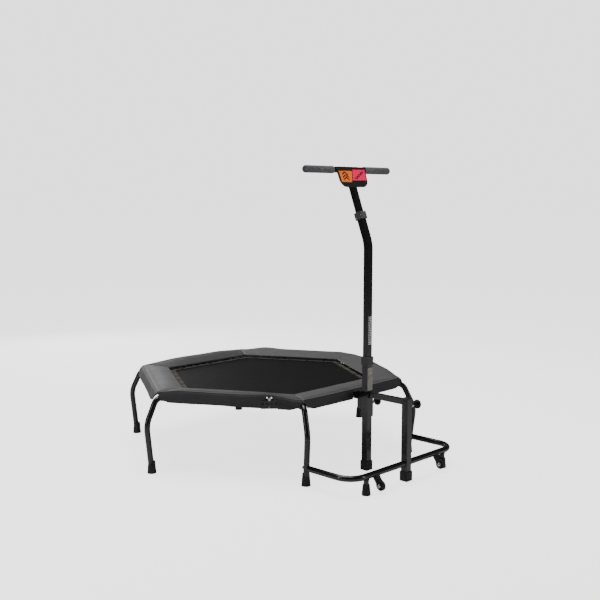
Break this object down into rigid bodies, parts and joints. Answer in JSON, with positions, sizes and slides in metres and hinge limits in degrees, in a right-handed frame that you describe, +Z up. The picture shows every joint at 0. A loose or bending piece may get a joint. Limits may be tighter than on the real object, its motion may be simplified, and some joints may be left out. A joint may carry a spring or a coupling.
{
  "type": "mini trampoline",
  "caption": "Folding six-sided fitness trampoline with padded rim, bent tube legs, a castered floor stand and a height-adjustable T-shaped handlebar.",
  "frame": {"origin": "on the floor, under the middle of the whole object's box", "axes": "+Z up; the handle and its stand are on the -Y side of the six-sided bed; +X is to the right when seen from the handle side"},
  "size_m": [1.417, 1.5002, 1.2945],
  "materials": {
    "black_tube": "glossy black powder coat",
    "zinc_steel": "bright zinc plate",
    "bare_steel": "brushed",
    "black_rubber": "matt",
    "wheel_rubber": "matt",
    "black_plastic": "fine texture",
    "grey_plastic": "fine texture",
    "grey_tube": "satin grey",
    "jump_fabric": "woven mesh",
    "elastic_cord": "braided",
    "pad_cover": "coated woven cover over foam",
    "foam_grip": "closed-cell foam",
    "orange_panel": "satin print",
    "pink_panel": "satin print"
  },
  "bodies": {
    "front_half": {"frame_tube_front": "black_tube", "frame_tube_front_right": "black_tube", "frame_stubs_front": "black_tube", "fold_hinge_leaves_front": "black_tube", "fold_hinge_pins": "zinc_steel", "leg_front_left": "black_tube", "leg_front_right": "black_tube", "leg_right": "black_tube", "leg_feet_front": "black_rubber", "leg_sockets_front": "black_tube", "jump_mat_front": "jump_fabric", "mat_cords_front": "elastic_cord", "pad_front": "pad_cover", "pad_front_right": "pad_cover", "hinge_pads_front": "pad_cover", "base_tube": "black_tube", "base_bolts": "zinc_steel", "base_stubs": "black_tube", "base_feet": "black_rubber", "caster_fork_left": "black_plastic", "caster_fork_right": "black_plastic", "caster_axles": "zinc_steel", "outer_post": "black_tube", "outer_post_cap": "black_plastic", "outer_post_boot": "black_rubber", "crossbar": "black_tube", "post_sleeve": "black_tube", "inner_post": "black_tube", "inner_post_boot": "black_rubber", "pin_ferrules": "zinc_steel", "mast_socket": "grey_tube", "lower_collar": "grey_plastic", "splice_plate": "bare_steel"},
    "rear_half": {"frame_tube_rear": "black_tube", "frame_tube_rear_left": "black_tube", "frame_stubs_rear": "black_tube", "fold_hinge_leaves_rear": "black_tube", "leg_rear_right": "black_tube", "leg_rear_left": "black_tube", "leg_left": "black_tube", "leg_feet_rear": "black_rubber", "leg_sockets_rear": "black_tube", "jump_mat_rear": "jump_fabric", "mat_cords_rear": "elastic_cord", "pad_rear": "pad_cover", "pad_rear_left": "pad_cover", "hinge_pads_rear": "pad_cover"},
    "mast": {"mast_tube": "black_tube", "upper_collar": "grey_plastic"},
    "handlebar": {"handle_stem": "black_tube", "handlebar_tube": "black_tube", "grip_left": "foam_grip", "grip_right": "foam_grip", "console_shroud": "black_plastic", "panel_left": "orange_panel", "panel_right": "pink_panel"},
    "outer_pin": {"pull_pin_outer": "black_plastic"},
    "inner_pin": {"pull_pin_inner": "black_plastic"},
    "left_wheel": {"caster_wheel_left": "wheel_rubber"},
    "right_wheel": {"caster_wheel_right": "wheel_rubber"}
  },
  "joints": [
    {"name": "frame_fold", "type": "hinge", "parent": "front_half", "child": "rear_half", "pos_m": [0, 0.13485, 0.341], "axis": [0.6756, 0.7373, 0], "range_deg": [0, 140]},
    {"name": "mast_height", "type": "slide", "parent": "front_half", "child": "mast", "axis": [0, 0, 1], "range_m": [-0.12, 0.1]},
    {"name": "handlebar_height", "type": "slide", "parent": "mast", "child": "handlebar", "axis": [0, 0.3502, 0.9367], "range_m": [-0.03, 0.03]},
    {"name": "outer_pin_pull", "type": "slide", "parent": "front_half", "child": "outer_pin", "axis": [1, 0, 0], "range_m": [0, 0.01], "stiffness_N_per_m": 1500},
    {"name": "inner_pin_pull", "type": "slide", "parent": "front_half", "child": "inner_pin", "axis": [1, 0, 0], "range_m": [0, 0.01], "stiffness_N_per_m": 1500},
    {"name": "left_wheel_spin", "type": "hinge", "parent": "front_half", "child": "left_wheel", "pos_m": [-0.2, -0.72915, 0.032], "axis": [1, 0, 0], "continuous": true},
    {"name": "right_wheel_spin", "type": "hinge", "parent": "front_half", "child": "right_wheel", "pos_m": [0.2, -0.72915, 0.032], "axis": [1, 0, 0], "continuous": true}
  ]
}
